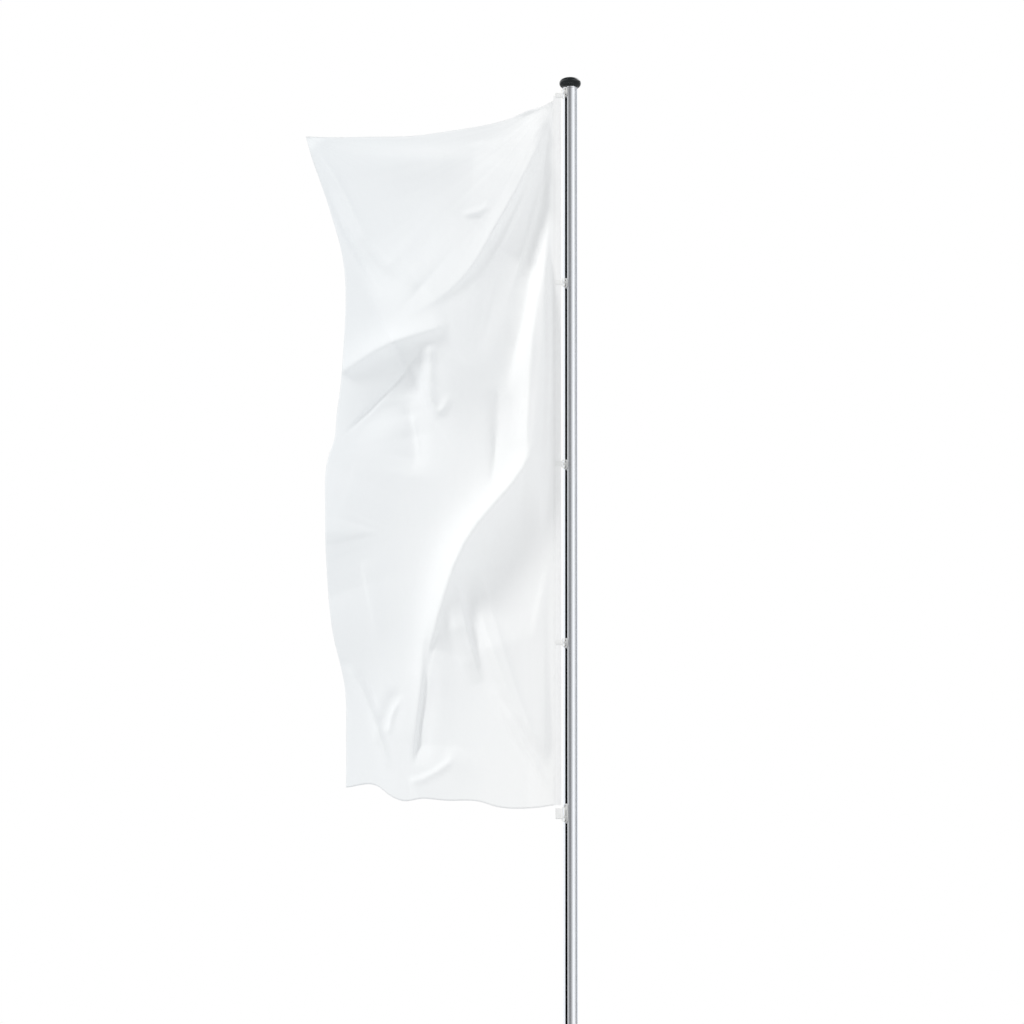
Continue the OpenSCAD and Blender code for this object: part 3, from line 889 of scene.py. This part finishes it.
def sheet_grid(name):
    """A flat grid of the cut cloth, and each vertex's share across and down it."""
    bm = bmesh.new()
    bmesh.ops.create_grid(bm, x_segments=cells_across, y_segments=cells_down, size=0.5)
    bm.verts.ensure_lookup_table()
    across_share = np.array([0.5 - v.co.x for v in bm.verts])
    down_share = np.array([0.5 - v.co.y for v in bm.verts])
    layout = bm.loops.layers.uv.new("cut")
    for face in bm.faces:
        for corner in face.loops:
            x, y, _ = corner.vert.co
            corner[layout].uv = ((0.5 - x) * cut_width, (0.5 - y) * cut_height)
    upright = Matrix.Rotation(math.pi / 2, 3, "X")
    bmesh.ops.rotate(bm, verts=bm.verts, cent=(0, 0, 0), matrix=upright)
    mesh = bpy.data.meshes.new(name)
    bm.to_mesh(mesh)
    bm.free()
    return mesh, across_share, down_share


cloth_mesh, share_u, share_w = sheet_grid("flag_cloth")
board_a, board_d = lie_flat(share_u, share_w)
drawn_back = broad_folds(board_a, board_d, share_u, share_w).reshape(cells_down + 1, -1)
for axis in (0, 1):
    near = np.pad(drawn_back, [(1, 1) if axis == k else (0, 0) for k in (0, 1)], "edge")
    drawn_back = 0.5 * drawn_back + 0.25 * (
        np.delete(near, (0, 1), axis) + np.delete(near, (-1, -2), axis))
drawn = from_board(board_a, board_d, drawn_back.ravel())
cloth_mesh.vertices.foreach_set("co", drawn.astype(np.float32).ravel())
cloth = bpy.data.objects.new("flag_cloth", cloth_mesh)
scene.collection.objects.link(cloth)

# The drawn cloth is narrower than its cut, so it is let go to settle: each part is pulled
# towards where it was drawn, the hoist is held in its heading, and the spare width wrinkles.
cloth.shape_key_add(name="drawn")
cut_key = cloth.shape_key_add(name="cut")
cut_points = np.stack([
    cloth_high.x + 0.006 - share_u * cut_width, np.full_like(share_u, hinge_y),
    cloth_high.z - share_w * cut_height], axis=-1)
cut_key.data.foreach_set("co", cut_points.astype(np.float32).ravel())
cut_key.value = 0
held = cloth.vertex_groups.new(name="held")
loose_pull, corner_pull, hoist_pull = 0.8, 0.97, 1.0
sewn_share = 0.018
for index, (u, w) in enumerate(zip(share_u, share_w)):
    at_corner = u > 1 - 1.5 / cells_across and w < 1.5 / cells_down
    pull = hoist_pull if u < sewn_share else corner_pull if at_corner else loose_pull
    held.add([index], pull, "REPLACE")
settle = cloth.modifiers.new("settle", "CLOTH")
feel = settle.settings
feel.quality = 6
feel.mass = 0.15
feel.air_damping = 1.0
feel.tension_stiffness = 25
feel.compression_stiffness = 12
feel.shear_stiffness = 8
feel.bending_stiffness = 0.05
feel.tension_damping = feel.compression_damping = feel.shear_damping = 5
feel.bending_damping = 0.5
feel.vertex_group_mass = held.name
feel.rest_shape_key = cut_key
feel.effector_weights.gravity = 0.3
settle.collision_settings.use_collision = False
settle.collision_settings.use_self_collision = False
steps = 30
settle.point_cache.frame_start, settle.point_cache.frame_end = 1, steps + 1
scene.frame_start, scene.frame_end = 1, steps + 1
for step in range(1, steps + 1):
    scene.frame_set(step)
graph = bpy.context.evaluated_depsgraph_get()
settled = np.empty(len(share_u) * 3, np.float32)
cloth.evaluated_get(graph).data.vertices.foreach_get("co", settled)
cloth.modifiers.clear()
cloth.shape_key_clear()
drawn = settled.reshape(-1, 3)
scene.frame_set(1)
creased = fine_creases(board_a, board_d, share_u)
off_board = np.array([0, 1, math.tan(view_pitch)])
drawn = drawn + creased[:, None] * off_board
cloth_mesh.vertices.foreach_set("co", drawn.astype(np.float32).ravel())

# The cloth is a white satin, with painted shade that makes it a little darker and cooler towards
# the fly and the top. Its threads show as a fine upright slub, and it is slightly crumpled from
# being packed.
satin = Finish(
    "flag_cloth", base_color=(0.92, 0.92, 0.92), roughness=0.5, sheen_weight=0.1,
    sheen_roughness=0.35)
cut_spot = satin.node("UVMap", {"uv_map": "cut"})
cut_u, cut_w, _ = satin.axes(cut_spot)
# painted shade: the cloth's colour goes darker and cooler towards the fly and the top of the cut
painted_cool_shade = satin.math(
    "MINIMUM", cut_u * (0.8 / cut_width) + (cut_height - cut_w) * (0.2 / cut_height), 1.0)
satin.feed("Base Color", satin.tint(painted_cool_shade, (0.935, 0.935, 0.93), (0.89, 0.915, 0.93)))
satin_threads = satin.node("Mapping", inputs={"Vector": cut_spot, "Scale": (1, 0.12, 1)})
slub = satin.noise(satin_threads, 0.004, 4.0)
satin.feed("Roughness", 0.40 + 0.14 * slub)


# Fine strain lines fan out from the two upper corners, where the cloth is pulled.
def strain(at_u, at_w, lines, reach):
    """Soft lines that point at a corner of the cut and fade with the distance from it."""
    off_u, off_w = cut_u - at_u, cut_w - at_w
    angle = satin.math("ARCTAN2", off_w, off_u)
    far = satin.math("SQRT", off_u * off_u + off_w * off_w)
    place = satin.node("CombineXYZ", inputs={"X": angle * lines, "Y": far * 1.5})
    streak = satin.noise(place, 1.0, 1.0)
    return streak * satin.math("MAXIMUM", 1.0 - far / reach, 0.0)


pulled = strain(0.0, 0.0, 13.0, 2.2) + 0.6 * strain(cut_width, 0.0, 9.0, 1.2)
fold_spot = satin.node("Mapping", inputs={"Vector": cut_spot, "Scale": (1, 0.35, 1)})
crumple = satin.noise(fold_spot, 0.12, 5.0)
satin.bump(pulled * 0.4 + crumple * 0.3 + slub * 0.01, 0.02, 0.5)
cloth_mesh.materials.append(satin.material)
cloth_mesh.shade_smooth()
cloth_skin = cloth.modifiers.new("cloth_thickness", "SOLIDIFY")
cloth_skin.thickness = 0.0006
cloth_skin.offset = 0
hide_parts("flag")
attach(cloth, "flag")

# The foot is hot-dip galvanised steel: a square plate, a socket tube and four gussets, welded
# together. The zinc has set in a patchwork of dull and bright crystals.
galvanised = Finish("galvanised_steel", metallic=1.0, roughness=0.45)
crystals = galvanised.node(
    "TexVoronoi", {"feature": "F1"}, {"Vector": galvanised.place(), "Scale": 90.0, "Randomness": 1.0},
    out="Color")
crystal_tone = galvanised.node("SeparateXYZ", inputs={"Vector": crystals})
cloudy = galvanised.noise(galvanised.place(), 0.05, 4.0)
galvanised.feed("Base Color", galvanised.tint(
    crystal_tone * 0.6 + cloudy * 0.4, (0.42, 0.44, 0.455), (0.66, 0.68, 0.69)))
galvanised.feed("Roughness", 0.34 + 0.22 * crystal_tone + 0.12 * cloudy)
galvanised.bump(galvanised.noise(galvanised.place(), 0.0025, 3.0), 0.0002, 0.4)
for node, bevel in (
        ("base_plate", 0.0015), ("base_socket", 0.0006),
        *((f"gusset_{k}", 0.001) for k in range(1, 5))):
    set_piece(
        f"{node}_steel", softened(node), galvanised, "mast", [node],
        bevel=bevel, segments=3)


# Fillet welds join the socket and the gussets to the plate, laid by hand as overlapping beads.
plate_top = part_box("base_plate")[1][2]
socket_low, socket_high = corners("base_socket")
socket_radius = (socket_high.x - socket_low.x) / 2
bead_radius, bead_step = 0.0035, 0.0024


def weld_run(bm, path):
    """Overlapping beads along straight legs between the points of a path."""
    for start, end in zip(path, path[1:]):
        count = max(1, round((end - start).length / bead_step))
        for k in range(count):
            bmesh.ops.create_icosphere(
                bm, subdivisions=2, radius=bead_radius,
                matrix=Matrix.Translation(start.lerp(end, k / count)))


welds = bmesh.new()
ring_steps = 96
ring = [
    Vector((socket_radius * math.cos(a), socket_radius * math.sin(a), plate_top))
    for a in (2 * math.pi * k / ring_steps for k in range(ring_steps + 1))]
weld_run(welds, ring)
gusset_low, gusset_high = corners("gusset_1")
for quarter in range(4):
    turn = Matrix.Rotation(quarter * math.pi / 2, 3, "Z")
    for y in (gusset_low.y, gusset_high.y):
        weld_run(welds, [turn @ Vector(p) for p in (
            (gusset_high.x, y, plate_top), (gusset_low.x, y, plate_top),
            (gusset_low.x, y, gusset_high.z - 0.004))])
set_piece("foot_welds", welds, galvanised, "mast", smooth_angle=80)

# A black plastic sleeve fills the gap between the socket and the mast, and its lip sheds rain.
sleeve_plastic = Finish(
    "sleeve_plastic", base_color=(0.03, 0.03, 0.032), roughness=0.5, specular_ior_level=0.4)
weathering = sleeve_plastic.noise(sleeve_plastic.place(), 0.02, 5.0)
sleeve_plastic.feed("Base Color", sleeve_plastic.tint(
    weathering, (0.02, 0.02, 0.022), (0.06, 0.06, 0.062)))
sleeve_plastic.feed("Roughness", 0.42 + 0.25 * weathering)
sleeve_plastic.bump(sleeve_plastic.noise(sleeve_plastic.place(), 0.0009, 2.0), 0.0001, 0.3)
set_piece(
    "sleeve", softened("socket_sleeve"), sleeve_plastic, "mast",
    ["socket_sleeve"], bevel=0.0015, segments=3)

# Three zinc-plated hexagon bolts clamp the mast in its socket, each on a plain washer.
bolt_zinc = Finish("bolt_zinc", metallic=1.0, roughness=0.3)
plating = bolt_zinc.noise(bolt_zinc.place(), 0.006, 4.0)
bolt_zinc.feed("Base Color", bolt_zinc.tint(plating, (0.55, 0.56, 0.56), (0.74, 0.74, 0.72)))
bolt_zinc.feed("Roughness", 0.22 + 0.25 * plating)
bolt_zinc.bump(bolt_zinc.noise(bolt_zinc.place(), 0.001, 2.0), 0.00008, 0.3)
washer_radius = 0.0125
for number in range(1, 4):
    node = f"clamp_bolt_{number}"
    set_piece(
        f"bolt_{number}", softened(node), bolt_zinc, "mast", [node],
        bevel=0.0007, segments=3, smooth_angle=28)
    low, high = corners(node)
    centre = (low + high) / 2
    outward = Vector((centre.x, centre.y, 0)).normalized()
    washer_spot = outward * (socket_radius + 0.0006) + Vector((0, 0, centre.z))
    facing = outward.to_track_quat("Z", "Y").to_matrix().to_4x4()
    washer = bmesh.new()
    bmesh.ops.create_cone(
        washer, cap_ends=True, segments=40, radius1=washer_radius, radius2=washer_radius,
        depth=0.0016, matrix=Matrix.Translation(washer_spot) @ facing)
    set_piece(f"bolt_{number}_washer", washer, bolt_zinc, "mast", bevel=0.0003)
